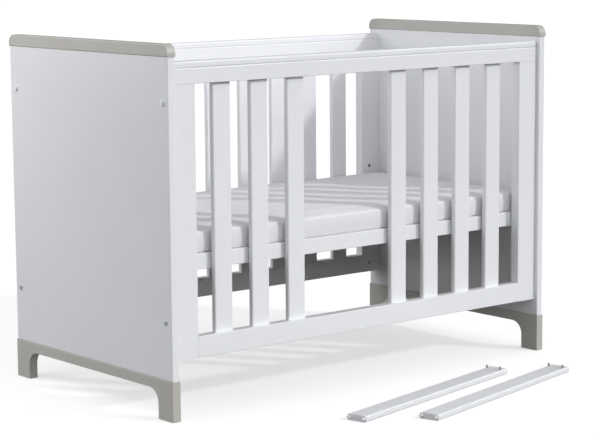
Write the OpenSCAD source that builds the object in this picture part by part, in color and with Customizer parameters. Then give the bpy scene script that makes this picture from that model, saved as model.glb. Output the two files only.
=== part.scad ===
// Baby crib with slatted sides, solid end panels, a height-adjustable slatted
// base with a mattress, and two snap-in bars taken out and laid on the floor.
// Units are millimetres. X runs along the crib, -Y is the side with the removed
// bars, +Z is up. The floor is z = 0 and the origin is under the middle of the
// bounding box of the whole set.

/* [Crib] */
// length over the outer faces of the end panels
crib_len = 1244; // [1000:1:1500]
// depth of the end panels
crib_depth = 680; // [520:1:900]
// height of the end panels' top edge
panel_top = 854; // [700:1:1050]

/* [End panels] */
// thickness of an end panel
panel_t = 19.5; // [15:0.5:28]
// height of the panel's lower edge, which is the leg board's top
board_h = 97.5; // [60:0.5:150]
// height of the crosspiece between the two legs
cross_h = 25.5; // [15:0.5:50]
// width of a leg at the floor
leg_w = 58; // [35:1:110]
// radius where the crosspiece turns down into a leg
leg_r = 35; // [8:1:60]
// how far the leg board stands proud of the panel on each side and edge
board_proud = 2; // [0.5:0.5:5]
// height of the top cap
cap_h = 30; // [18:1:50]
// radius of the cap's eased edges
cap_ease = 3; // [1:0.5:5]
// radius of the cap's two upper corners
cap_r = 22; // [6:1:28]
// how far the cap stands proud of the panel on each side and edge
cap_proud = 1.8; // [0.5:0.1:4]
// radius of the eased edges on boards
ease_r = 1.5; // [0.5:0.5:3]

/* [Side frames] */
// thickness of rails and stiles
frame_t = 27; // [20:1:35]
// how far a frame's outer face is set back from the panel's edge
frame_inset = 10; // [4:1:30]
// width of a stile
stile_w = 65; // [40:1:90]
// height of the bottom rail's lower edge
rail_z0 = 142; // [110:1:220]
// height of the bottom rail itself
bottom_rail_h = 51; // [35:1:80]
// gap from the top rail's top to the cap's lower edge
rail_drop = 12; // [4:1:40]
// height of the flat part of the top rail
top_flat_h = 36; // [28:1:60]
// height of the rounded moulding on the top rail
mould_h = 17; // [12:1:24]
// depth of the small groove under the moulding
quirk = 1.5; // [0.5:0.1:3]
// radius of the moulding's edges
mould_r = 4.5; // [3:0.5:8]

/* [Slats] */
// number of slat places in each side
slat_n = 9; // [9:1:9]
// width of a slat
slat_w = 53; // [35:1:62]
// thickness of a slat
slat_t = 15; // [12:0.5:18]
// radius of a slat's long edges
slat_r = 4; // [1:0.5:6]
// length of a slat's tenon
tenon_l = 12; // [8:1:16]
// how much narrower the tenon is than the slat on each side
tenon_in = 6.5; // [4:0.5:10]
// thickness of the tenon
tenon_t = 8; // [6:0.5:10]
// glue gap round tenons and dowels
glue_gap = 0.1; // [0.05:0.05:0.3]

/* [Snap-in bars] */
// gap round a snap-in bar in its notch
bar_gap = 0.5; // [0.3:0.1:1]
// how far a snap-in bar ends below the top rail's moulding
bar_short = 1; // [0.5:0.5:3]
// distance from the bar's top end to its ball studs
stud_in = 23.5; // [18:0.5:26]
// spacing of the two ball studs, and of the two end pins
pair_gap = 40; // [25:1:42]
// diameter of a stud's ball
ball_d = 7.4; // [5:0.2:8]
// diameter of a stud's stem
stem_d = 3.4; // [2.5:0.1:4]
// length of a stud's stem inside the bar
stud_sink = 8; // [6:0.5:10]
// height of the collar between a stud's ball and the bar
collar_h = 1; // [0.5:0.1:1.2]
// how far the collar stands out from the stem
collar_out = 1.2; // [0.8:0.1:2]
// wall of a snap socket round the ball
socket_wall = 1.5; // [1:0.1:2]
// free space round and in front of a ball in its socket
socket_gap = 0.2; // [0.1:0.05:0.4]
// wood left in the top rail in front of a socket
socket_skin = 2.4; // [1.5:0.1:4]
// diameter of an end pin
pin_d = 8; // [6:0.5:9]
// length of an end pin outside the bar
pin_l = 6; // [4:0.5:12]
// length of an end pin inside the bar
pin_sink = 17; // [12:1:24]
// running gap round an end pin in its hole
pin_gap = 0.3; // [0.2:0.05:0.5]
// free depth past the tip of an end pin
pin_room = 2; // [1:0.5:4]
// angle of the first loose bar to the crib's length
bar1_a = 13; // [0:0.5:30]
// angle of the second loose bar to the crib's length
bar2_a = 14; // [0:0.5:30]
// distance from the crib's front edge to the first loose bar's middle
bar1_y = 198; // [150:1:260]
// distance from the first loose bar's middle to the second one's
bar2_dy = 96; // [70:1:200]
// position of the first loose bar's middle along the crib
bar1_x = 19; // [-100:1:150]
// position of the second loose bar's middle along the crib
bar2_x = 155; // [-100:1:250]

/* [Hardware] */
// diameter of the machine bolts
bolt_d = 6; // [5:1:8]
// gap round a bolt in its clearance hole
bolt_gap = 0.5; // [0.25:0.05:1]
// diameter of a bolt's flat head
head_d = 11; // [9:0.5:14]
// height of a bolt's flat head
head_h = 2.4; // [1.5:0.1:4]
// height of the lower panel bolts
bolt_z1 = 234; // [210:1:250]
// height of the upper panel bolts
bolt_z2 = 747.5; // [700:0.5:770]
// width of the hexagon socket in a bolt's head, over its corners
hex_d = 4.6; // [3:0.1:5.5]
// depth of the hexagon socket
hex_deep = 1.8; // [1:0.1:2.2]
// wall of a threaded insert round its bolt
insert_wall = 2; // [1.5:0.1:3]
// length of a threaded insert in a stile's edge
insert_l = 18; // [12:1:22]
// how far an insert sits below the wood's surface
insert_sunk = 0.5; // [0.2:0.1:1]
// free depth past the end of an insert, for the bolt's tip
bolt_room = 6; // [4:1:10]
// how far a bolt's tip passes its insert
bolt_past = 2; // [0:0.5:4]
// depth of the level holes in the stiles' inner faces
level_l = 15; // [12:0.5:18]
// how far a level insert stays inside its hole at both ends
level_sunk = 0.3; // [0.1:0.1:1]
// how far a base bolt would end before the bottom of a level hole
level_short = 2; // [1:0.5:4]
// wall of the white cover caps on the upper bolts
cover_wall = 1.2; // [0.8:0.1:2]
// diameter of a wooden dowel
dowel_d = 8; // [6:0.5:9]
// length of a wooden dowel
dowel_l = 36; // [24:1:40]
// distance from a panel's edge to its outermost dowel
end_dowel_in = 80; // [60:5:110]
// how deep the end dowels go into the leg board
end_dowel_sink = 16; // [10:1:18]
// how high the end dowels go into the top cap
end_dowel_rise = 18; // [10:1:22]
// spacing of the two dowels in a stile's top end
stile_dowel_gap = 30; // [20:1:40]
// spacing of the two dowels in a bottom rail's end
rail_dowel_gap = 26; // [18:1:30]
// diameter of the wood screws in the base
screw_d = 4; // [3:0.5:5]
// diameter of a wood screw's countersunk head
screw_head_d = 8; // [6:0.5:10]
// length of a wood screw
screw_l = 44; // [35:1:60]
// distance from the base rail's edges to the screws
screw_in = 10; // [8:0.5:12]
// how deep a screw's head sits below the surface
screw_top = 1.2; // [0.5:0.1:2]

/* [Mattress base] */
// height of the lowest base level's holes
level_z0 = 168.5; // [160:0.5:175]
// spacing of the base levels
level_step = 96; // [64:8:96]
// number of base levels
level_n = 4; // [4:1:4]
// level the base is set to, counted from the lowest
level_now = 2; // [0:1:3]
// distance from the stile's outer end to its level holes
level_in = 36.5; // [25:0.5:45]
// height of the base's rails
base_h = 38; // [30:1:50]
// thickness of the base's rails
base_t = 20; // [16:1:26]
// how far the base bolts are backed out, clear of the stiles
bolt_back = 15; // [15:1:18]
// height of the bolt above the base rail's lower edge
base_bolt_up = 14; // [10:1:20]
// gap between the base and the side frames
base_gap_y = 3; // [2:0.5:6]
// gap between the base and the end panels
base_gap_x = 4; // [3:0.5:8]
// number of deck slats
deck_n = 9; // [9:1:9]
// width of a deck slat
deck_w = 64; // [50:1:80]
// thickness of a deck slat
deck_t = 12; // [9:0.5:16]
// depth that a deck slat is let into the base rails
deck_in = 8; // [5:1:12]
// gap between the deck slats' tops and the base rails' tops
deck_low = 0.4; // [0.2:0.1:1]

/* [Mattress] */
// mattress thickness
mat_t = 56; // [40:1:100]
// gap between the mattress and the crib's ends
mat_gap_x = 6; // [4:1:20]
// gap between the mattress and the crib's sides
mat_gap_y = 6; // [4:1:20]
// radius of the mattress's upright corners
mat_corner_r = 45; // [20:1:80]
// radius of the mattress's soft upper edges
mat_edge_r = 10; // [6:1:18]
// radius of the mattress's lower edges
mat_foot_r = 6; // [4:1:10]
// gap between the mattress and the base
mat_under = 0.2; // [0.1:0.1:1]

/* [Hidden] */
$fn = 48;
eps = 0.5;
half_x = crib_len / 2;
in_x = half_x - panel_t;
half_y = crib_depth / 2;
face_y = half_y - frame_inset;
in_y = face_y - frame_t;
mid_y = face_y - frame_t / 2;
rail_z1 = rail_z0 + bottom_rail_h;
mould_top = panel_top - rail_drop;
top_z0 = mould_top - mould_h - top_flat_h;
mould_z = top_z0 + top_flat_h;
open_x = in_x - stile_w;
pitch = (2 * open_x + slat_w) / (slat_n + 1);
slat_mid = in_y + slat_t / 2;
slat_z0 = rail_z1;
slat_z1 = top_z0;
bar_len = mould_z - bar_short - slat_z0;
stud_h = frame_t - slat_t - bar_gap - socket_skin - 2 * socket_gap;
ball = min(ball_d, stud_h - collar_h);
socket_hole_d = ball + 2 * socket_gap + 2 * socket_wall;
socket_z = slat_z0 + bar_len - stud_in;
removed = [4, 5];
fixed_front = [1, 2, 3, 6, 7, 8, 9];
level_x = in_x - level_in;
base_z = level_z0 + level_now * level_step - base_bolt_up;
base_top = base_z + base_h;
base_y = in_y - base_gap_y;
base_x = in_x - base_gap_x;
insert_clear = 0.05;
insert_d = bolt_d + 2 * insert_clear + 2 * insert_wall;
bolt_hole_d = bolt_d + 2 * bolt_gap;
bar_y1 = -half_y - bar1_y;
bar_y2 = bar_y1 - bar2_dy;
set_y0 = bar_y2 - (bar_len / 2 + pin_l) * sin(bar2_a) - (pair_gap / 2 + pin_d / 2) * cos(bar2_a);
set_y1 = half_y + board_proud;
shift_y = -(set_y0 + set_y1) / 2;
deck_span = 2 * (base_x - base_t);
deck_gap = (deck_span - deck_n * deck_w) / (deck_n + 1);
white = [0.93, 0.93, 0.94];
taupe = [0.68, 0.67, 0.64];
steel = [0.55, 0.55, 0.57];
beech = [0.83, 0.69, 0.5];

function slat_x(i) = (i - (slat_n + 1) / 2) * pitch;

// ---------- shared shapes ----------

// rectangle with round corners, centred
module rrect(w, h, r) {
    square([w - 2 * r, h], center = true);
    square([w, h - 2 * r], center = true);
    for (x = [-1, 1], y = [-1, 1])
        translate([x * (w / 2 - r), y * (h / 2 - r)]) circle(r);
}

// upright board whose four long edges are eased
module upright(w, d, h, r) {
    linear_extrude(h) rrect(w, d, r);
}

// board lying along X with a profile drawn in Y (first) and Z (second)
module along_x(len) {
    translate([-len / 2, 0, 0]) rotate([90, 0, 90]) linear_extrude(len) children();
}

// rod along X, Y or Z from a start point
module rod_x(d, l) { rotate([0, 90, 0]) cylinder(d = d, h = l); }
module rod_y(d, l) { rotate([-90, 0, 0]) cylinder(d = d, h = l); }

// the whole set is moved so that its bounding box is centred on the origin
module placed() { translate([0, shift_y, 0]) children(); }

// ---------- ends ----------

// dowels at the panel's top and bottom edges
module end_dowel_row(grow) {
    y1 = half_y - end_dowel_in;
    for (y = [-y1, -y1 / 3, y1 / 3, y1], z = [panel_top - dowel_l + end_dowel_rise, board_h - end_dowel_sink])
        translate([0, y, z - grow]) cylinder(d = dowel_d + 2 * grow, h = dowel_l + 2 * grow);
}

// cuts the ease off the long edges of a board that meets the joint of the panel and the leg board
module eased_joint(t, w) {
    for (x = [-1, 1]) translate([x * t / 2, 0, board_h]) rotate([0, 45, 0])
        cube([sqrt(2) * ease_r, w + 2 * eps, sqrt(2) * ease_r], center = true);
}

module end_panel(s) {
    color(white) placed() difference() {
        translate([s * (half_x - panel_t / 2), 0, 0]) difference() {
            translate([0, 0, board_h]) upright(panel_t, crib_depth, panel_top - board_h, ease_r);
            eased_joint(panel_t, crib_depth);
        }
        for (y = [-mid_y, mid_y], z = [bolt_z1, bolt_z2])
            translate([s * half_x - (s > 0 ? panel_t + eps : eps), y, z])
                rod_x(bolt_hole_d, panel_t + 2 * eps);
        translate([s * (half_x - panel_t / 2), 0, 0]) end_dowel_row(glue_gap);
    }
}

// cap board with two rounded upper corners and eased top edges
module top_cap(s) {
    w = crib_depth + 2 * cap_proud;
    t = panel_t + 2 * cap_proud;
    color(taupe) placed() difference() {
        translate([s * (half_x - panel_t / 2), 0, panel_top]) intersection() {
            along_x(t) union() {
                translate([-w / 2, 0]) square([w, cap_h - cap_r]);
                translate([-w / 2 + cap_r, 0]) square([w - 2 * cap_r, cap_h]);
                for (y = [-1, 1]) translate([y * (w / 2 - cap_r), cap_h - cap_r]) circle(cap_r, $fn = 96);
            }
            translate([0, w / 2 + eps, cap_h / 2]) rotate([90, 0, 0])
                linear_extrude(w + 2 * eps) rrect(t, cap_h, cap_ease);
        }
        translate([s * (half_x - panel_t / 2), 0, 0]) end_dowel_row(glue_gap);
    }
}

// board with two legs and a crosspiece, arched between the legs
module leg_board(s) {
    w = crib_depth + 2 * board_proud;
    t = panel_t + 2 * board_proud;
    z1 = board_h - cross_h;
    a = w / 2 - leg_w;
    color(taupe) placed() difference() {
        translate([s * (half_x - panel_t / 2), 0, 0]) difference() {
            upright(t, w, board_h, ease_r);
            along_x(t + 2 * eps) union() {
                translate([-a, -eps]) square([2 * a, z1 - leg_r + eps]);
                translate([-a + leg_r, -eps]) square([2 * (a - leg_r), z1 + eps]);
                for (y = [-1, 1]) translate([y * (a - leg_r), z1 - leg_r]) circle(leg_r, $fn = 96);
            }
            eased_joint(t, w);
        }
        translate([s * (half_x - panel_t / 2), 0, 0]) end_dowel_row(glue_gap);
    }
}

// ---------- side frames, drawn for the front (s = -1) or the back (s = 1) ----------

// two dowels across each rail joint
module frame_dowels(s, grow) {
    d = dowel_d + 2 * grow;
    l = dowel_l + 2 * grow;
    for (x = [-1, 1]) {
        for (k = [-1, 1])
            translate([
                x * (in_x - stile_w / 2) + k * stile_dowel_gap / 2, s * mid_y, top_z0 - dowel_l / 2 - grow
            ]) cylinder(d = d, h = l);
        for (k = [-1, 1])
            translate([x * open_x - l / 2, s * mid_y, rail_z0 + bottom_rail_h / 2 + k * rail_dowel_gap / 2])
                rod_x(d, l);
    }
}

// mortises or tenon for the slat at x; side s; bigger by grow
module tenon(x, s, z, grow) {
    translate([x, s * slat_mid, z]) cube([
        slat_w - 2 * tenon_in + 2 * grow, tenon_t + 2 * grow, 2 * tenon_l + 2 * grow
    ], center = true);
}

// profile of the top rail: a flat lower part and a rounded moulding
module top_profile() {
    translate([0, top_flat_h / 2]) rrect(frame_t, top_flat_h, ease_r);
    translate([-frame_t / 2 + quirk, top_flat_h / 2])
        square([frame_t - 2 * quirk, top_flat_h / 2 + mould_h / 2]);
    translate([0, top_flat_h + mould_h / 2]) rrect(frame_t, mould_h, mould_r);
}

module top_rail(s, places) {
    color(white) placed() difference() {
        translate([0, s * mid_y, top_z0]) along_x(2 * in_x) top_profile();
        for (i = places) tenon(slat_x(i), s, slat_z1, glue_gap);
        frame_dowels(s, glue_gap);
        if (s < 0) for (i = removed) {
            translate([slat_x(i) - slat_w / 2 - bar_gap, -in_y - slat_t - bar_gap, top_z0 - eps])
                cube([slat_w + 2 * bar_gap, slat_t + bar_gap + eps, top_flat_h - bar_short + bar_gap + eps]);
            for (k = [-1, 1])
                translate([slat_x(i) + k * pair_gap / 2, -face_y + socket_skin, socket_z])
                    rod_y(socket_hole_d, frame_t);
        }
    }
}

module bottom_rail(s, places) {
    color(white) placed() difference() {
        translate([0, s * mid_y, rail_z0 + bottom_rail_h / 2]) along_x(2 * open_x)
            rrect(frame_t, bottom_rail_h, ease_r);
        for (i = places) tenon(slat_x(i), s, slat_z0, glue_gap);
        frame_dowels(s, glue_gap);
        if (s < 0) for (i = removed, k = [-1, 1])
            translate([slat_x(i) + k * pair_gap / 2, -slat_mid, rail_z1 - pin_l - pin_room])
                cylinder(d = pin_d + 2 * pin_gap, h = pin_l + pin_room + eps);
    }
}

module stile(sx, s) {
    color(white) placed() difference() {
        translate([sx * (in_x - stile_w / 2), s * mid_y, rail_z0])
            upright(stile_w, frame_t, top_z0 - rail_z0, ease_r);
        frame_dowels(s, glue_gap);
        for (k = [0 : level_n - 1])
            translate([sx * level_x, s > 0 ? in_y - eps : -in_y - level_l, level_z0 + k * level_step])
                rod_y(insert_d + 2 * insert_clear, level_l + eps);
        for (z = [bolt_z1, bolt_z2])
            translate([sx > 0 ? in_x - insert_l - bolt_room : -in_x - eps, s * mid_y, z])
                rod_x(insert_d + 2 * insert_clear, insert_l + bolt_room + eps);
    }
}

module slat(i, s) {
    color(white) placed() union() {
        translate([slat_x(i), s * slat_mid, slat_z0])
            upright(slat_w, slat_t, slat_z1 - slat_z0, slat_r);
        tenon(slat_x(i), s, slat_z0, 0);
        tenon(slat_x(i), s, slat_z1, 0);
    }
}

// ---------- snap-in bars on the floor ----------

// puts a bar drawn from x = 0 at its lower end, face up, on the floor
module on_floor(x, y, a) {
    placed() translate([x, y, 0]) rotate([0, 0, a]) translate([-bar_len / 2, 0, 0]) children();
}

module bar_body() {
    difference() {
        translate([0, 0, slat_t / 2]) rotate([90, 0, 90])
            linear_extrude(bar_len) rrect(slat_w, slat_t, slat_r);
        for (k = [-1, 1]) {
            translate([bar_len - stud_in, k * pair_gap / 2, slat_t - stud_sink])
                cylinder(d = stem_d + 2 * insert_clear, h = stud_sink + eps);
            translate([-eps, k * pair_gap / 2, slat_t / 2])
                rod_x(pin_d + 2 * insert_clear, pin_sink + glue_gap + eps);
        }
    }
}

// ball on a stem that is screwed into the bar's face
module bar_studs() {
    ball_z = stud_sink + stud_h - ball / 2;
    for (k = [-1, 1]) translate([bar_len - stud_in, k * pair_gap / 2, slat_t - stud_sink]) rotate_extrude() {
        square([stem_d / 2, ball_z]);
        translate([0, stud_sink]) square([stem_d / 2 + collar_out, collar_h]);
        translate([0, ball_z]) intersection() {
            circle(d = ball);
            translate([0, -ball]) square([ball, 2 * ball]);
        }
    }
}

module bar_pins() {
    for (k = [-1, 1]) translate([-pin_l, k * pair_gap / 2, slat_t / 2]) rod_x(pin_d, pin_l + pin_sink);
}

// plastic sockets that the ball studs snap into
module snap_sockets() {
    color(white) placed() for (i = removed, k = [-1, 1])
        translate([slat_x(i) + k * pair_gap / 2, -face_y + socket_skin, socket_z])
            rotate([-90, 0, 0]) difference() {
                cylinder(d = socket_hole_d - 2 * insert_clear, h = frame_t - slat_t - bar_gap - socket_skin);
                translate([0, 0, socket_gap]) cylinder(d = ball + 2 * socket_gap, h = frame_t);
            }
}

// ---------- hardware ----------

// flat-headed bolt with a hexagon socket, drawn from its head's underside along -X
module socket_bolt(l) {
    difference() {
        union() {
            rod_x(head_d, head_h);
            translate([-l, 0, 0]) rod_x(bolt_d, l + eps / 2);
        }
        translate([head_h - hex_deep, 0, 0]) rotate([0, 90, 0]) cylinder(d = hex_d, h = head_h, $fn = 6);
    }
}

module frame_bolts() {
    color(steel) placed() for (x = [-1, 1], y = [-mid_y, mid_y], z = [bolt_z1, bolt_z2])
        translate([x * half_x, y, z]) rotate([0, 0, x > 0 ? 0 : 180])
            socket_bolt(panel_t + insert_l + bolt_past);
}

// sleeve along X, from 0 inwards
module sleeve_x(l) {
    difference() {
        rod_x(insert_d, l);
        translate([-eps, 0, 0]) rod_x(bolt_d + 2 * insert_clear, l + 2 * eps);
    }
}

module frame_inserts() {
    color(steel) placed() for (x = [-1, 1], y = [-mid_y, mid_y], z = [bolt_z1, bolt_z2])
        translate([x > 0 ? in_x - insert_l - insert_sunk : -in_x + insert_sunk, y, z]) sleeve_x(insert_l);
}

module bolt_caps() {
    color(white) placed() for (x = [-1, 1], y = [-mid_y, mid_y])
        translate([x * half_x, y, bolt_z2]) rotate([0, 90 * x, 0]) difference() {
            cylinder(d = head_d + 2 * glue_gap + 2 * cover_wall, h = head_h + glue_gap + cover_wall);
            translate([0, 0, -eps]) cylinder(d = head_d + 2 * glue_gap, h = head_h + glue_gap + eps);
        }
}

module level_inserts() {
    color(steel) placed() for (x = [-1, 1], s = [-1, 1], k = [0 : level_n - 1])
        translate([
            x * level_x, (s > 0 ? in_y : -in_y - level_l) + level_sunk, level_z0 + k * level_step
        ]) rotate([0, 0, 90]) sleeve_x(level_l - 2 * level_sunk);
}

// ---------- mattress base ----------

module base_bolt_cut(grow) {
    for (x = [-1, 1], s = [-1, 1])
        translate([x * level_x, s > 0 ? base_y - base_t - eps : -base_y - eps, base_z + base_bolt_up])
            rod_y(bolt_hole_d + grow, base_t + 2 * eps);
}

// countersunk screws through the long rails into the end rails
module base_screw_set(grow) {
    for (x = [-1, 1], s = [-1, 1], z = [screw_in, base_h - screw_in])
        translate([x * (base_x - base_t / 2), s * (base_y - screw_top), base_z + z])
            rotate([s > 0 ? 90 : -90, 0, 0]) union() {
                cylinder(
                    d1 = screw_head_d + 2 * grow, d2 = screw_d + 2 * grow, h = (screw_head_d - screw_d) / 2
                );
                cylinder(d = screw_d + 2 * grow, h = screw_l + grow);
            }
}

module deck_shape(i, grow) {
    x0 = -base_x + base_t + deck_gap + (i - 1) * (deck_w + deck_gap);
    translate([x0 - grow, -(base_y - base_t + deck_in) - grow, base_top - deck_t - grow])
        cube([deck_w + 2 * grow, 2 * (base_y - base_t + deck_in) + 2 * grow, deck_t - deck_low + 2 * grow]);
}

module base_long_rail(s) {
    color(white) placed() difference() {
        translate([0, s * (base_y - base_t / 2), base_z + base_h / 2]) along_x(2 * base_x)
            rrect(base_t, base_h, ease_r);
        base_bolt_cut(0);
        base_screw_set(glue_gap);
        for (i = [1 : deck_n]) deck_shape(i, glue_gap);
        for (x = [-1, 1], z = [screw_in, base_h - screw_in])
            translate([x * (base_x - base_t / 2), s > 0 ? base_y - screw_top : -base_y - eps, base_z + z])
                rod_y(screw_head_d + 2 * glue_gap, screw_top + eps);
    }
}

module base_end_rail(x) {
    color(white) placed() difference() {
        translate([x * (base_x - base_t / 2), 0, base_z + base_h / 2])
            cube([base_t, 2 * (base_y - base_t), base_h], center = true);
        base_screw_set(glue_gap);
    }
}

module base_screws() { color(steel) placed() base_screw_set(0); }

module base_bolts() {
    color(steel) placed() for (x = [-1, 1], s = [-1, 1])
        translate([x * level_x, s * (base_y - base_t - bolt_back), base_z + base_bolt_up])
            rotate([0, 0, s > 0 ? -90 : 90]) socket_bolt(base_t + base_gap_y + level_l - level_short);
}

module mattress() {
    mx = in_x - mat_gap_x;
    my = in_y - mat_gap_y;
    foot = [mat_foot_r, base_top + mat_under + mat_foot_r];
    edge = [mat_edge_r, base_top + mat_t - mat_edge_r];
    color([0.91, 0.91, 0.92]) placed() hull()
        for (x = [-1, 1], y = [-1, 1], e = [foot, edge])
            translate([x * (mx - mat_corner_r), y * (my - mat_corner_r), e[1]])
                rotate_extrude($fn = 32) translate([mat_corner_r - e[0], 0]) circle(e[0], $fn = 20);
}

// ---------- nodes ----------

end_panel(-1);  // left_end_panel
end_panel(1);  // right_end_panel
top_cap(-1);  // left_top_cap
top_cap(1);  // right_top_cap
leg_board(-1);  // left_leg_board
leg_board(1);  // right_leg_board
top_rail(-1, fixed_front);  // front_top_rail
bottom_rail(-1, fixed_front);  // front_bottom_rail
stile(-1, -1);  // front_left_stile
stile(1, -1);  // front_right_stile
top_rail(1, [1 : slat_n]);  // back_top_rail
bottom_rail(1, [1 : slat_n]);  // back_bottom_rail
stile(-1, 1);  // back_left_stile
stile(1, 1);  // back_right_stile
slat(1, -1);  // front_slat_1
slat(2, -1);  // front_slat_2
slat(3, -1);  // front_slat_3
slat(6, -1);  // front_slat_6
slat(7, -1);  // front_slat_7
slat(8, -1);  // front_slat_8
slat(9, -1);  // front_slat_9
slat(1, 1);  // back_slat_1
slat(2, 1);  // back_slat_2
slat(3, 1);  // back_slat_3
slat(4, 1);  // back_slat_4
slat(5, 1);  // back_slat_5
slat(6, 1);  // back_slat_6
slat(7, 1);  // back_slat_7
slat(8, 1);  // back_slat_8
slat(9, 1);  // back_slat_9
color(white) on_floor(bar1_x, bar_y1, bar1_a) bar_body();  // loose_bar_1
color(white) on_floor(bar2_x, bar_y2, bar2_a) bar_body();  // loose_bar_2
color(steel) on_floor(bar1_x, bar_y1, bar1_a) bar_studs();  // bar_1_studs
color(steel) on_floor(bar2_x, bar_y2, bar2_a) bar_studs();  // bar_2_studs
color(white) on_floor(bar1_x, bar_y1, bar1_a) bar_pins();  // bar_1_pins
color(white) on_floor(bar2_x, bar_y2, bar2_a) bar_pins();  // bar_2_pins
snap_sockets();
color(beech) placed() frame_dowels(-1, 0);  // front_frame_dowels
color(beech) placed() frame_dowels(1, 0);  // back_frame_dowels
color(beech) placed()  // end_dowels
    for (s = [-1, 1]) translate([s * (half_x - panel_t / 2), 0, 0]) end_dowel_row(0);
frame_bolts();
frame_inserts();
bolt_caps();
level_inserts();
base_long_rail(-1);  // base_front_rail
base_long_rail(1);  // base_back_rail
base_end_rail(-1);  // base_left_rail
base_end_rail(1);  // base_right_rail
color(beech) placed() deck_shape(1, 0);  // deck_slat_1
color(beech) placed() deck_shape(2, 0);  // deck_slat_2
color(beech) placed() deck_shape(3, 0);  // deck_slat_3
color(beech) placed() deck_shape(4, 0);  // deck_slat_4
color(beech) placed() deck_shape(5, 0);  // deck_slat_5
color(beech) placed() deck_shape(6, 0);  // deck_slat_6
color(beech) placed() deck_shape(7, 0);  // deck_slat_7
color(beech) placed() deck_shape(8, 0);  // deck_slat_8
color(beech) placed() deck_shape(9, 0);  // deck_slat_9
base_bolts();
base_screws();
mattress();
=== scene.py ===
# %% [markdown]
# # A baby crib with two of its bars taken out
# The crib's boards, rails, slats and fittings come from a CAD model that is already exact, so this
# lesson adds what CAD leaves out: sprayed lacquer, plated steel, moulded plastic and bare beech on
# those parts, a soft mattress made by cloth simulation, and a calm studio around it all. Everything
# is in metres and stays in the CAD model's own frame.

# %% Load the CAD frame
import math

import bpy
import numpy as np
from mathutils import Matrix, Vector


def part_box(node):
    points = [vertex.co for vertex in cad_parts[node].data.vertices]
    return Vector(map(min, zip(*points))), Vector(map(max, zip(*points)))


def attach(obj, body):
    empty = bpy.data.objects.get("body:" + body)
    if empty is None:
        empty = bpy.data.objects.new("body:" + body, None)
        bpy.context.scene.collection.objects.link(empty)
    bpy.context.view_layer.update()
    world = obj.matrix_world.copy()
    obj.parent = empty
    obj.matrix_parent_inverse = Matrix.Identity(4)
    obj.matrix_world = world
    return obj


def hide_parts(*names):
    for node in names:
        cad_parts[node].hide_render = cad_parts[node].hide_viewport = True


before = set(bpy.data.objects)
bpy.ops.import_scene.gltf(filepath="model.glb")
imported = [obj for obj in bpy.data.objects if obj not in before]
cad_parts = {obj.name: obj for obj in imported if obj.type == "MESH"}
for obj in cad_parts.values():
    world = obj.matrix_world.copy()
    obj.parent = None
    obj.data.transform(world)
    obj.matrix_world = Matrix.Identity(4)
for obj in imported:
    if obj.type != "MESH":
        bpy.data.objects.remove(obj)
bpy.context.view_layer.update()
MM = 0.001
scene = bpy.context.scene


# %% [markdown]
# ## Two small helpers for materials
# Paint charts and web colours are given as sRGB hex values, while the renderer counts light in a
# linear way, so one function turns the first into the second. The other helper adds one shader node
# with its settings and its links in a single readable line, which keeps each material short.

# %% Colour and node helpers
def linear(hex_text):
    """Turns sRGB hex into linear light: a channel near black is divided by 12.92, and a brighter one
    has 0.055 added, is divided by 1.055 and raised to the power 2.4."""
    c = np.array([int(hex_text[k:k + 2], 16) / 255 for k in (1, 3, 5)])
    c = np.where(c <= 0.04045, c / 12.92, ((c + 0.055) / 1.055) ** 2.4)
    return (*c.tolist(), 1.0)


def add(tree, kind, settings=None, **inputs):
    """Adds a node. Settings are the node's own properties. Each input is a value, or an output to link,
    and it is called by its label, or by i and its place in the list where labels repeat."""
    node = tree.nodes.new("ShaderNode" + kind)
    for key, value in (settings or {}).items():
        setattr(node, key, value)
    for key, value in inputs.items():
        name = key.replace("_", " ")
        socket = node.inputs[int(key[1:])] if key[0] == "i" and key[1:].isdigit() else node.inputs[name]
        if isinstance(value, bpy.types.NodeSocket):
            tree.links.new(value, socket)
        else:
            socket.default_value = value
    return node


def new_material(name):
    """Starts an empty material and returns it with its tree, its shader and the Object coordinates."""
    mat = bpy.data.materials.new(name)
    mat.use_nodes = True
    tree = mat.node_tree
    shader = tree.nodes["Principled BSDF"]
    where = add(tree, "TexCoord").outputs["Object"]
    return mat, tree, shader, where


print("mid grey #808080 is", round(linear("#808080")[0], 3), "in linear light")


# %% [markdown]
# ## Sprayed lacquer on wood and fibreboard
# The white and the taupe parts carry the same finish: a satin polyurethane lacquer, sprayed over
# primer. Three things tell the eye that it's lacquer and not plastic. The film dries with very
# shallow dimples a millimetre or two apart, the sheen differs a little from place to place, and on
# solid wood the grain still shows faintly through the film, as long shallow ripples. A noise that is
# stretched along one axis gives those ripples, so slats, rails and boards each name their own axis.

# %% Lacquer
DIMPLE, DIMPLE_HEIGHT = 3.0 * MM, 0.08 * MM    # drawn at 3 mm, wider than real, so that they show
RIPPLE, RIPPLE_HEIGHT = 5.0 * MM, 0.25 * MM    # grain ripples across the board
RIPPLE_LENGTH = 160.0 * MM                     # how far a ripple runs along the board
PATCH = 140.0 * MM                             # size of the soft patches in colour and sheen
SATIN, DULL_SATIN = (0.34, 0.46), (0.38, 0.5)  # roughness in the glossiest and the dullest patches
LACQUER_IOR = 1.5


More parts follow.
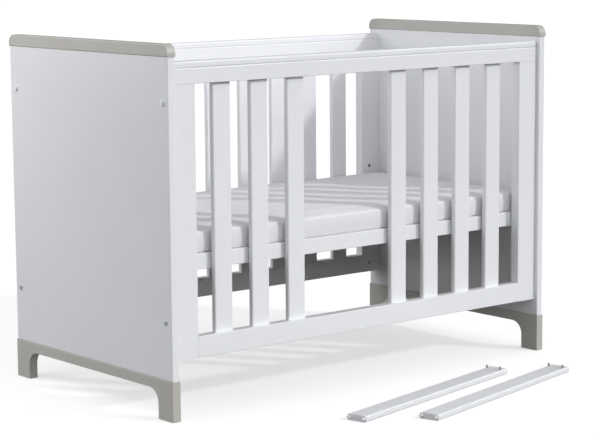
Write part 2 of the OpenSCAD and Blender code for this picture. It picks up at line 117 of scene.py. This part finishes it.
def lacquer(name, light, dark, grain, ripple_strength, roughness=SATIN):
    """Sprayed satin lacquer: soft wide highlights over faint dimples and a hint of grain. Grain is the
    number of the axis that the ripples run along."""
    mat, tree, shader, where = new_material(name)
    stretch = [1 / RIPPLE] * 3
    stretch[grain] = 1 / RIPPLE_LENGTH
    along = add(tree, "Mapping", Vector=where, Scale=stretch)
    ripples = add(tree, "TexNoise", Vector=along.outputs[0], Scale=1.0, Detail=3.0, Roughness=0.55)
    dimples = add(tree, "TexNoise", Vector=where, Scale=1 / DIMPLE, Detail=1.0)
    patches = add(tree, "TexNoise", Vector=where, Scale=1 / PATCH, Detail=2.0)
    tone = add(tree, "Mix", {"data_type": "RGBA"}, i0=patches.outputs["Fac"],
               i6=linear(light), i7=linear(dark))
    sheen = add(tree, "MapRange", Value=patches.outputs["Fac"], To_Min=roughness[0],
                To_Max=roughness[1])
    grain_bump = add(tree, "Bump", Height=ripples.outputs["Fac"], Strength=ripple_strength,
                     Distance=RIPPLE_HEIGHT)
    film_bump = add(tree, "Bump", Height=dimples.outputs["Fac"], Strength=0.25, Distance=DIMPLE_HEIGHT,
                    Normal=grain_bump.outputs[0])
    tree.links.new(tone.outputs[2], shader.inputs["Base Color"])
    tree.links.new(sheen.outputs[0], shader.inputs["Roughness"])
    tree.links.new(film_bump.outputs[0], shader.inputs["Normal"])
    shader.inputs["IOR"].default_value = LACQUER_IOR
    shader.inputs["Coat Weight"].default_value = 0.15
    shader.inputs["Coat Roughness"].default_value = 0.3
    return mat


X_AXIS, Y_AXIS, Z_AXIS = 0, 1, 2
WHITE, TAUPE = ("#EBECEE", "#E6E7EA"), ("#BBB8B2", "#B4B1AA")
WOOD, SANDED_BOARD, EDGED_BOARD = 0.5, 0.08, 0.3  # how strongly the ripples show through the film
white_rail = lacquer("white_lacquer_on_rail", *WHITE, grain=X_AXIS, ripple_strength=WOOD)
white_slat = lacquer("white_lacquer_on_slat", *WHITE, grain=Z_AXIS, ripple_strength=WOOD)
white_bar = lacquer("white_lacquer_on_loose_bar", *WHITE, grain=X_AXIS, ripple_strength=WOOD)
white_board = lacquer("white_lacquer_on_fibreboard", *WHITE, grain=Z_AXIS, ripple_strength=SANDED_BOARD)
taupe_board = lacquer("taupe_lacquer_on_fibreboard", *TAUPE, grain=Y_AXIS, ripple_strength=EDGED_BOARD,
                      roughness=DULL_SATIN)
print("lacquers:", [m.name for m in (white_rail, white_slat, white_bar, white_board, taupe_board)])


# %% [markdown]
# ## Bare beech
# The deck slats under the mattress and the dowels are plain sanded beech. Beech is pale and pinkish,
# with thin darker flecks a few millimetres long and soft bands along the grain. One noise, strongly
# stretched, makes the bands, and a second, finer one makes the flecks.

# %% Beech
BAND, BAND_LENGTH = 9.0 * MM, 300.0 * MM   # soft bands: how wide and how long
FLECK, FLECK_LENGTH = 1.1 * MM, 9.0 * MM   # darker flecks: how wide and how long
BAND_HEIGHT = 0.15 * MM


def beech(name, grain):
    """Sanded beech, pale and matt, with flecks that run along the given axis."""
    mat, tree, shader, where = new_material(name)
    bands_scale, flecks_scale = [1 / BAND] * 3, [1 / FLECK] * 3
    bands_scale[grain], flecks_scale[grain] = 1 / BAND_LENGTH, 1 / FLECK_LENGTH
    band_space = add(tree, "Mapping", Vector=where, Scale=bands_scale)
    fleck_space = add(tree, "Mapping", Vector=where, Scale=flecks_scale)
    bands = add(tree, "TexNoise", Vector=band_space.outputs[0], Scale=1.0, Detail=4.0, Distortion=0.4)
    flecks = add(tree, "TexNoise", Vector=fleck_space.outputs[0], Scale=1.0, Detail=1.0)
    fleck_mask = add(tree, "MapRange", Value=flecks.outputs["Fac"], From_Min=0.6, From_Max=0.72)
    wood = add(tree, "Mix", {"data_type": "RGBA"}, i0=bands.outputs["Fac"],
               i6=linear("#E0BE97"), i7=linear("#C79A6C"))
    flecked = add(tree, "Mix", {"data_type": "RGBA"}, i0=fleck_mask.outputs[0],
                  i6=wood.outputs[2], i7=linear("#9E7148"))
    bump = add(tree, "Bump", Height=bands.outputs["Fac"], Strength=0.3, Distance=BAND_HEIGHT)
    tree.links.new(flecked.outputs[2], shader.inputs["Base Color"])
    tree.links.new(bump.outputs[0], shader.inputs["Normal"])
    shader.inputs["Roughness"].default_value = 0.62
    return mat


beech_across = beech("bare_beech_across", Y_AXIS)
beech_dowel = beech("bare_beech_dowel", Z_AXIS)
print("beech:", beech_across.name, beech_dowel.name)


# %% [markdown]
# ## Zinc-plated steel
# Bolts, inserts, screws and ball studs are steel with a bright zinc plating, which is a slightly
# cloudy metal: its colour hardly changes, but its sheen does, in blotches of a few millimetres. So one
# noise drives the sheen, and a finer one gives the faint marks that turning leaves.

# %% Steel
CLOUD = 2.5 * MM                               # size of the cloudy blotches
TURNING, TURNING_HEIGHT = 0.6 * MM, 0.05 * MM  # marks left by the lathe


def zinc_steel():
    """Zinc plating: a bright metal with cloudy sheen and faint turning marks."""
    mat, tree, shader, where = new_material("zinc_plated_steel")
    cloud = add(tree, "TexNoise", Vector=where, Scale=1 / CLOUD, Detail=3.0)
    sheen = add(tree, "MapRange", Value=cloud.outputs["Fac"], To_Min=0.22, To_Max=0.42)
    marks = add(tree, "TexNoise", Vector=where, Scale=1 / TURNING, Detail=1.0)
    bump = add(tree, "Bump", Height=marks.outputs["Fac"], Strength=0.15, Distance=TURNING_HEIGHT)
    tree.links.new(sheen.outputs[0], shader.inputs["Roughness"])
    tree.links.new(bump.outputs[0], shader.inputs["Normal"])
    shader.inputs["Base Color"].default_value = linear("#9EA0A5")
    shader.inputs["Metallic"].default_value = 1.0
    return mat


steel = zinc_steel()
print("steel:", steel.name)


# %% [markdown]
# ## Moulded plastic
# The cover caps, the sockets and the bars' end pins are injection moulded in a white plastic. The
# mould is spark-eroded, which leaves an even grain under a millimetre in size, and one fine noise
# gives that grain its tone, its sheen and its height together.

# %% Plastic
SPARK, SPARK_HEIGHT = 0.7 * MM, 0.05 * MM  # grain of the spark-eroded mould
PLASTIC_IOR = 1.49


def moulded_plastic():
    """White plastic with the fine even grain of a spark-eroded mould."""
    mat, tree, shader, where = new_material("moulded_white_plastic")
    grain = add(tree, "TexNoise", Vector=where, Scale=1 / SPARK, Detail=2.0)
    tone = add(tree, "Mix", {"data_type": "RGBA"}, i0=grain.outputs["Fac"],
               i6=linear("#F6F7F8"), i7=linear("#EEEFF1"))
    sheen = add(tree, "MapRange", Value=grain.outputs["Fac"], To_Min=0.36, To_Max=0.5)
    bump = add(tree, "Bump", Height=grain.outputs["Fac"], Strength=0.2, Distance=SPARK_HEIGHT)
    tree.links.new(tone.outputs[2], shader.inputs["Base Color"])
    tree.links.new(sheen.outputs[0], shader.inputs["Roughness"])
    tree.links.new(bump.outputs[0], shader.inputs["Normal"])
    shader.inputs["IOR"].default_value = PLASTIC_IOR
    return mat


plastic = moulded_plastic()
print("plastic:", plastic.name)


# %% [markdown]
# ## Mattress cover
# The cover is a white knitted polyester. A knit has rows of small round loops, so the pattern is the
# sum of three sine waves, one along each axis: on any face two of them cross and make a grid of
# dimples. Loops are under a millimetre apart, too fine to show, so they are drawn at 1.8 mm. Larger,
# softer noise gives the slack that a cover has over foam, and a little sheen lightens it at a graze.

# %% Cover cloth
LOOP, LOOP_HEIGHT = 1.8 * MM, 0.3 * MM
SLACK, SLACK_HEIGHT = 70.0 * MM, 4.0 * MM
FUZZ = 6.0 * MM    # size of the faint tone changes in the knit
SINE_SHARE = 0.17  # about a sixth, so that three sines together reach about plus or minus a half


def cover_cloth():
    """Knitted cover: the height is the sum of the sines of the three coordinates, plus soft slack."""
    mat, tree, shader, where = new_material("white_knitted_polyester")
    turns = 2 * math.pi / LOOP
    phase = add(tree, "VectorMath", {"operation": "MULTIPLY"}, i0=where, i1=(turns, turns, turns))
    waves = add(tree, "VectorMath", {"operation": "SINE"}, i0=phase.outputs[0])
    loops = add(tree, "VectorMath", {"operation": "DOT_PRODUCT"}, i0=waves.outputs[0],
                i1=(SINE_SHARE, SINE_SHARE, SINE_SHARE))
    give = add(tree, "TexNoise", Vector=where, Scale=1 / SLACK, Detail=4.0, Roughness=0.5,
               Distortion=0.6)
    fuzz = add(tree, "TexNoise", Vector=where, Scale=1 / FUZZ, Detail=3.0)
    tone = add(tree, "Mix", {"data_type": "RGBA"}, i0=fuzz.outputs["Fac"],
               i6=linear("#EAE8EC"), i7=linear("#E2E0E4"))
    give_bump = add(tree, "Bump", Height=give.outputs["Fac"], Strength=0.35, Distance=SLACK_HEIGHT)
    loop_bump = add(tree, "Bump", Height=loops.outputs["Value"], Strength=0.35, Distance=LOOP_HEIGHT,
                    Normal=give_bump.outputs[0])
    tree.links.new(tone.outputs[2], shader.inputs["Base Color"])
    tree.links.new(loop_bump.outputs[0], shader.inputs["Normal"])
    shader.inputs["Roughness"].default_value = 0.85
    shader.inputs["Sheen Weight"].default_value = 0.2
    shader.inputs["Sheen Roughness"].default_value = 0.5
    return mat


cloth = cover_cloth()
print("cloth:", cloth.name)


# %% [markdown]
# ## Give the CAD parts their finishes
# Each part's finish follows from what it is and how its grain runs: rails lie along the crib, slats
# and stiles stand up, the ends are fibreboard, and the deck slats run across. The name of the part
# says which it is.

# %% Assign finishes
BY_ENDING = [
    ("_top_cap", taupe_board), ("_leg_board", taupe_board), ("_end_panel", white_board),
    ("_stile", white_slat), ("_rail", white_rail), ("_dowels", beech_dowel), ("_bolts", steel),
    ("_inserts", steel), ("_screws", steel), ("_studs", steel), ("_pins", plastic),
    ("_sockets", plastic), ("_caps", plastic),
]
BY_START = [("front_slat", white_slat), ("back_slat", white_slat), ("deck_slat", beech_across),
            ("loose_bar", white_bar), ("mattress", cloth)]


def finish_for(node):
    """The material of a CAD node, from the start or the end of its name."""
    for start, mat in BY_START:
        if node.startswith(start):
            return mat
    return next(mat for ending, mat in BY_ENDING if node.endswith(ending))


for node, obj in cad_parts.items():
    for k in range(len(obj.material_slots)):
        obj.material_slots[k].material = finish_for(node)
print("finished", len(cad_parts), "CAD nodes")


# %% [markdown]
# ## The mattress, first as a plain slab
# A crib mattress is a block of foam in a sewn cover. Its plan is a rectangle with round corners. Its
# upper edge is softly rounded, and its own weight presses the lower edge nearly square. The surface
# is worked out on a grid: one parameter runs round the plan, and the other runs over the edge from
# the top face, down the side and under. Two flat faces close it. It starts a little small, because
# the cover swells in the next step.

# %% Slab surface
place_low, place_high = (np.array(v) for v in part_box("mattress"))
SHRINK = 3.0 * MM   # how far inside its place the slab starts at the sides; half that in height
CORNER = 45.0 * MM  # corner radius of the plan
EDGE = 10.0 * MM    # radius of the upper edge
FOOT = 6.0 * MM     # radius of the lower edge
slab_mid = (place_low + place_high) / 2
slab_half = (place_high - place_low) / 2 - np.array([SHRINK, SHRINK, SHRINK / 2])


def plan(inset, turns):
    """A rounded rectangle: the nearest corner's centre plus a step of the corner's radius, less the
    inset, in the direction of each angle."""
    way = np.stack([np.cos(turns), np.sin(turns)], -1)
    quarter = np.floor(turns / (math.pi / 2) + 1e-6).astype(int) % 4
    side = np.array([[1, 1], [-1, 1], [-1, -1], [1, -1]])[quarter]
    return side * (slab_half[:2] - CORNER) + way * (CORNER - inset)


def slab_grid(corner_steps=10, edge_steps=7):
    """Rings from the top face to the bottom face. Over each rounded edge the inset is the radius times
    1 less a sine or cosine of the bend, and the height follows with the other one. The angles keep just
    off the quarter turns, so that it is never in doubt which corner a point belongs to."""
    bend = np.linspace(0, math.pi / 2, edge_steps)
    inset = np.concatenate([EDGE * (1 - np.sin(bend)), FOOT * (1 - np.cos(bend))])
    height = np.concatenate([slab_half[2] - EDGE * (1 - np.cos(bend)),
                             -slab_half[2] + FOOT * (1 - np.sin(bend))])
    turns = np.concatenate([np.linspace(k + 0.001, k + 0.999, corner_steps) for k in range(4)])
    rings = [np.column_stack([plan(i, turns * math.pi / 2), np.full(turns.size, z)])
             for i, z in zip(inset, height)]
    return np.array(rings) + slab_mid


slab_rings = slab_grid()
print("slab", len(slab_rings), "rings,", [round(float(v) / MM) for v in 2 * slab_half], "mm")

# %% [markdown]
# ## Close the slab into a mesh
# Neighbouring rings are joined by quads, and the first and the last ring are filled with one flat face
# each, which makes the slab closed, as remeshing needs.

# %% Make the slab
def grid_faces(rows, columns):
    """Quads of a grid that is closed round its columns, wound so that they face outwards."""
    r, c = np.meshgrid(np.arange(rows - 1), np.arange(columns), indexing="ij")
    after = (c + 1) % columns
    quads = np.stack([r * columns + c, (r + 1) * columns + c, (r + 1) * columns + after,
                      r * columns + after], -1)
    return quads.reshape(-1, 4).tolist()


def mesh_object(name, points, faces):
    """Makes an object at the origin from an array of points and a list of faces."""
    mesh = bpy.data.meshes.new(name)
    mesh.from_pydata(points.tolist(), [], faces)
    mesh.update()
    obj = bpy.data.objects.new(name, mesh)
    scene.collection.objects.link(obj)
    return obj


row_count, column_count = slab_rings.shape[:2]
faces = grid_faces(row_count, column_count)
faces.append(list(range(column_count)))
faces.append(list(range(row_count * column_count - 1, (row_count - 1) * column_count - 1, -1)))
mattress = mesh_object("mattress_cover", slab_rings.reshape(-1, 3), faces)
print("slab", len(faces), "faces")

# %% [markdown]
# ## Fill the cover
# A real cover is cut flat and sewn along the edges, and the foam presses it out between the seams.
# Cloth simulation does just that: the slab is remeshed into even squares, the points along the upper
# and the lower edge are held, and pressure swells the rest for a few frames with gravity off. The
# movement is capped, so a firm mattress stays firm.

# %% Where a point lies on the slab
SEAM_HOLD = 5.0 * MM  # points this near to an edge are held by its seam


def plan_inset(points):
    """How far each point lies inside the plan: the corner radius less the signed distance to the
    rectangle that joins the corners' centres."""
    q = np.abs(points[:, :2] - slab_mid[:2]) - (slab_half[:2] - CORNER)
    outside = np.linalg.norm(np.maximum(q, 0), axis=1)
    return CORNER - outside - np.minimum(q.max(axis=1), 0)


def edge_distance(points, side, radius):
    """Distance of each point from the middle of the upper edge's rounding (side 1) or the lower one's
    (side -1): the hypotenuse of how far it is off in inset and in height from the point at 45 degrees
    on the edge's arc."""
    off = radius * (1 - math.cos(math.pi / 4))
    height = side * (points[:, 2] - slab_mid[2]) - (slab_half[2] - off)
    return np.hypot(plan_inset(points) - off, height)


insets = plan_inset(slab_rings.reshape(-1, 3))
print("the slab's rings lie", round(float(insets.min()) / MM, 1), "to",
      round(float(insets.max()) / MM, 1), "mm inside its plan")

# %% [markdown]
# ## Remesh and swell
# Even squares let the cloth stretch alike everywhere, and they are small enough to keep the edges
# round. The points on the seams stay where they are, so the cover bulges between them.

# %% Remesh and swell
VOXEL = 8.5 * MM      # side of the even squares
PRESSURE = 4.0        # the pressure and the stiffness are in the simulation's own units
STRETCH_STIFFNESS, BEND_STIFFNESS = 20, 2
TOP_SWELL = 5.0 * MM  # no point moves further than this
FRAMES = 20


def coordinates(mesh):
    """All vertex positions of a mesh as one array."""
    flat = np.empty(len(mesh.vertices) * 3, dtype=np.float32)
    mesh.vertices.foreach_get("co", flat)
    return flat.reshape(-1, 3).astype(float)


def remesh(obj, voxel):
    """Replaces the mesh with even squares of about the voxel's size."""
    mod = obj.modifiers.new("even squares", "REMESH")
    mod.mode, mod.voxel_size = "VOXEL", voxel
    done = obj.evaluated_get(bpy.context.evaluated_depsgraph_get())
    fresh = bpy.data.meshes.new_from_object(done)
    obj.modifiers.clear()
    obj.data = fresh


def swell(obj, held, pressure, cap):
    """Runs cloth with pressure, then moves each point by the simulated step, cut to the cap's length."""
    start = coordinates(obj.data)
    group = obj.vertex_groups.new(name="sewn")
    group.add(np.flatnonzero(held).tolist(), 1.0, "REPLACE")
    mod = obj.modifiers.new("cover", "CLOTH")
    cover = mod.settings
    cover.vertex_group_mass = "sewn"
    cover.use_pressure = True
    cover.uniform_pressure_force = pressure
    cover.tension_stiffness = cover.compression_stiffness = STRETCH_STIFFNESS
    cover.bending_stiffness = BEND_STIFFNESS
    cover.effector_weights.gravity = 0
    mod.point_cache.frame_end = FRAMES
    for step in range(1, FRAMES + 1):
        scene.frame_set(step)
    done = obj.evaluated_get(bpy.context.evaluated_depsgraph_get())
    move = coordinates(done.data) - start
    obj.modifiers.clear()
    obj.vertex_groups.clear()
    scene.frame_set(1)
    length = np.linalg.norm(move, axis=1, keepdims=True)
    move *= np.minimum(1, cap / np.maximum(length, 1e-9))
    print("swelled", len(start), "points, at most", round(float(length.max()) / MM, 1), "mm before the cap")
    return start + move


remesh(mattress, VOXEL)
rest = coordinates(mattress.data)
sewn = np.minimum(edge_distance(rest, 1, EDGE), edge_distance(rest, -1, FOOT)) < SEAM_HOLD
print(int(sewn.sum()), "of", len(rest), "points are held by the seams")
shape = swell(mattress, sewn, PRESSURE, TOP_SWELL)

# %% [markdown]
# ## Let it lie
# A cover is never quite even on top, so a few long, low waves are added there, fading out towards the
# edge. The mattress's own weight sinks its lower edge a few millimetres, less and less up the side,
# and whatever would pass the deck is laid flat on it. One subdivision then makes it smooth.

# %% Slack, weight and finish
WAVES, WAVE_HEIGHT = 7, 0.35 * MM
SHORTEST, LONGEST = 110, 330                 # wavelengths in millimetres
SEED = 7
WAVE_FADE = 60.0 * MM                        # the waves reach their full height this far in
PRESSED, PRESSED_ZONE = 5.0 * MM, 22.0 * MM  # how far the edge sinks, and how far up the side


def top_waves(points):
    """Soft unevenness of the top: a sum of long sine waves in fixed directions, each a fraction of a
    millimetre high."""
    draw = np.random.default_rng(SEED)
    angle = draw.uniform(0, math.pi, WAVES)
    wave = draw.uniform(SHORTEST, LONGEST, WAVES) * MM
    phase = draw.uniform(0, 2 * math.pi, WAVES)
    along = points[:, :1] * np.cos(angle) + points[:, 1:2] * np.sin(angle)
    return (np.sin(2 * math.pi * along / wave + phase) * WAVE_HEIGHT).sum(axis=1)


inside = np.clip((plan_inset(rest) - EDGE) / WAVE_FADE, 0, 1)
top_side = np.clip((rest[:, 2] - slab_mid[2]) / slab_half[2], 0, 1)
shape[:, 2] += top_waves(rest) * inside * top_side
rise = np.clip((shape[:, 2] - place_low[2]) / PRESSED_ZONE, 0, 1)
shape[:, 2] -= PRESSED * (1 - rise * rise * (3 - 2 * rise))
shape[:, 2] = np.maximum(shape[:, 2], place_low[2])
mattress.data.vertices.foreach_set("co", shape.astype(np.float32).ravel())
mattress.data.update()
finer = mattress.modifiers.new("finer", "SUBSURF")
finer.levels = finer.render_levels = 1
mattress.data.polygons.foreach_set("use_smooth", np.ones(len(mattress.data.polygons), dtype=bool))
mattress.data.materials.append(cloth)
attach(mattress, "mattress")
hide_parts("mattress")
print("mattress", [round(float(v) / MM) for v in np.ptp(shape, axis=0)], "mm")

# %% [markdown]
# ## Studio
# A white crib shows its shape only through small differences in white, so everything round it stays
# plain white too. The set stands on an opal acrylic floor that glows a little, which keeps it white.
# Diffuse light doesn't see the floor, so the glow stays off the crib's underside, which stays dark.

# %% Floor
FLOOR_SIDE = 120.0  # so wide that its edge lies far out at the horizon
FLOOR_GLOW = 0.58
CLOUDS_PER_METRE = 1.5
crib_low, crib_high = (Vector(v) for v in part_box("left_end_panel"))
crib_mid = Vector((0, (crib_low.y + crib_high.y) / 2, 0))


def opal_floor():
    """Opal acrylic sheet, lit from below: a pale grey that adds its own even glow."""
    mat, tree, shader, where = new_material("opal_acrylic_floor")
    cloud = add(tree, "TexNoise", Vector=where, Scale=CLOUDS_PER_METRE, Detail=2.0)
    tone = add(tree, "Mix", {"data_type": "RGBA"}, i0=cloud.outputs["Fac"],
               i6=linear("#C6C6C7"), i7=linear("#C2C2C3"))
    tree.links.new(tone.outputs[2], shader.inputs["Base Color"])
    shader.inputs["Roughness"].default_value = 0.9
    shader.inputs["Specular IOR Level"].default_value = 0.1
    shader.inputs["Emission Color"].default_value = linear("#FFFFFF")
    shader.inputs["Emission Strength"].default_value = FLOOR_GLOW
    return mat


corners = np.array([[-1, -1, 0], [1, -1, 0], [1, 1, 0], [-1, 1, 0]]) * FLOOR_SIDE / 2
floor = mesh_object("floor", corners, [[0, 1, 2, 3]])
floor.data.materials.append(opal_floor())
floor.visible_diffuse = False
print("floor", FLOOR_SIDE, "m wide, crib's middle at", [round(v, 3) for v in crib_mid])

# %% [markdown]
# ## Light tent
# The light comes mostly from the sides: a tent of bright cloth round the set, with a dimmer ceiling and
# hardly any light from below. The tent is the world's background, brighter towards the front. One panel
# of it, at the back right, is left dark: satin lacquer mirrors it at a graze, and so every upper edge
# gets the thin dark line that parts white from white. The camera itself sees plain white instead.

# %% Light tent
TENT, CEILING, BELOW, DARK_PANEL = 2.68, 0.46, 0.01, 0.05  # strength of the light from each part
HORIZON_FADE = (0.05, 0.28)  # heights on a unit sphere between which the dark below gives way
WALL_FADE = (0.17, 0.53)     # and those between which the wall gives way to the ceiling
FRONT = Vector((0.42, -0.88, 0.05)).normalized()
FRONT_GLOW = 0.64            # added to the wall right in front
FRONT_FADE = (0.35, 1.0)     # cosines of the angle off FRONT between which it rises
DARK = Vector((0.64, 0.77, 0.1)).normalized()
DARK_FADE = (0.72, 0.92)     # cosines of the angle off DARK between which the panel darkens
BACKDROP = 1.04              # what the camera sees

scene.world = bpy.data.worlds.new("light_tent")
scene.world.use_nodes = True
tent = scene.world.node_tree
towards = add(tent, "TexCoord").outputs["Generated"]
upward = add(tent, "SeparateXYZ", Vector=towards).outputs["Z"]
wall = add(tent, "MapRange", {"interpolation_type": "SMOOTHSTEP"}, Value=upward,
           From_Min=WALL_FADE[0], From_Max=WALL_FADE[1], To_Min=TENT, To_Max=CEILING)
facing = add(tent, "VectorMath", {"operation": "DOT_PRODUCT"}, i0=towards, i1=tuple(FRONT))
glow = add(tent, "MapRange", {"interpolation_type": "SMOOTHSTEP"}, Value=facing.outputs["Value"],
           From_Min=FRONT_FADE[0], From_Max=FRONT_FADE[1], To_Min=0.0, To_Max=FRONT_GLOW)
upper = add(tent, "Math", {"operation": "ADD"}, i0=wall.outputs[0], i1=glow.outputs[0])
behind = add(tent, "VectorMath", {"operation": "DOT_PRODUCT"}, i0=towards, i1=tuple(DARK))
panel = add(tent, "MapRange", {"interpolation_type": "SMOOTHSTEP"}, Value=behind.outputs["Value"],
            From_Min=DARK_FADE[0], From_Max=DARK_FADE[1], To_Min=upper.outputs[0],
            To_Max=DARK_PANEL)
light = add(tent, "MapRange", {"interpolation_type": "SMOOTHSTEP"}, Value=upward,
            From_Min=HORIZON_FADE[0], From_Max=HORIZON_FADE[1], To_Min=BELOW,
            To_Max=panel.outputs[0])
seen = add(tent, "LightPath").outputs["Is Camera Ray"]
strength = add(tent, "MapRange", Value=seen, To_Min=light.outputs[0], To_Max=BACKDROP)
tent.links.new(strength.outputs[0], tent.nodes["Background"].inputs["Strength"])
tent.nodes["Background"].inputs["Color"].default_value = linear("#FCFDFF")
print("tent: wall", TENT, "ceiling", CEILING, "below", BELOW)


# %% [markdown]
# ## Key light and softbox
# A tent alone leaves everything even. A weak key light from the front and the right lays the slats'
# stripes across the mattress. It is a sun, a few degrees wide, so that the stripes' edges are a little
# soft. A softbox at the back left lightens the left end's upper part.

# %% Key light and softbox
KEY_AZIMUTH, KEY_HEIGHT = math.radians(32), math.radians(28)
KEY_STRENGTH, KEY_SPREAD = 1.3, math.radians(4)
KEY_DISTANCE = 4.0  # where the lamp is drawn; a sun's light is the same at any distance
SOFTBOX_AT, SOFTBOX_SIDE, SOFTBOX_POWER = Vector((-1.5, 0.9, 1.15)), 0.7, 6.5
SOFTBOX_TOWARDS = Vector((-0.6, 0, 0.5))  # like its place, counted from the crib's middle


def aim(name, data, place, towards_point):
    """Puts a light at a place and turns it to look at a point."""
    lamp = bpy.data.objects.new(name, data)
    turn = (towards_point - place).to_track_quat("-Z", "Y")
    lamp.matrix_world = Matrix.Translation(place) @ turn.to_matrix().to_4x4()
    lamp.visible_camera = False
    scene.collection.objects.link(lamp)


key_light = bpy.data.lights.new("key", "SUN")
key_light.energy, key_light.angle = KEY_STRENGTH, KEY_SPREAD
key_from = Vector((math.sin(KEY_AZIMUTH) * math.cos(KEY_HEIGHT),
                   -math.cos(KEY_AZIMUTH) * math.cos(KEY_HEIGHT), math.sin(KEY_HEIGHT)))
aim("key", key_light, crib_mid + KEY_DISTANCE * key_from, crib_mid)
softbox = bpy.data.lights.new("softbox", "AREA")
softbox.energy, softbox.size = SOFTBOX_POWER, SOFTBOX_SIDE
aim("softbox", softbox, crib_mid + SOFTBOX_AT, crib_mid + SOFTBOX_TOWARDS)
scene.view_settings.view_transform = "Standard"
print("key light from", [round(v, 2) for v in key_from], "softbox", SOFTBOX_POWER, "W")

# %% [markdown]
# ## Camera
# The crib is seen from its front left corner, from a good distance and a little above its top rail,
# with a long lens, so its lines stay nearly parallel.

# %% Camera
LENS, SENSOR = 118.35, 36.0  # millimetres, as camera makers give them
SIGHT = 200                  # metres, far enough for the whole floor
FROM_CRIB = Vector((-3.2624, -3.9919, 1.1288))
TURN, TILT, ROLL = (math.radians(v) for v in (39.677, 8.223, -0.422))
camera_data = bpy.data.cameras.new("camera")
camera_data.lens, camera_data.sensor_width = LENS, SENSOR
camera_data.clip_end = SIGHT
camera = bpy.data.objects.new("camera", camera_data)
camera.matrix_world = (Matrix.Translation(crib_mid + FROM_CRIB) @ Matrix.Rotation(-TURN, 4, "Z")
                       @ Matrix.Rotation(math.pi / 2 - TILT, 4, "X") @ Matrix.Rotation(ROLL, 4, "Z"))
scene.collection.objects.link(camera)
scene.camera = camera
print("camera", round((camera.matrix_world.translation - crib_mid).length, 2), "m from the crib's middle")

# %% [markdown]
# ## The end
# Apart from a little that fabric may stand proud, the visual model stays inside the CAD model's box. Last,
# the scene is brought up to date.

# %% Finish
bpy.context.view_layer.update()
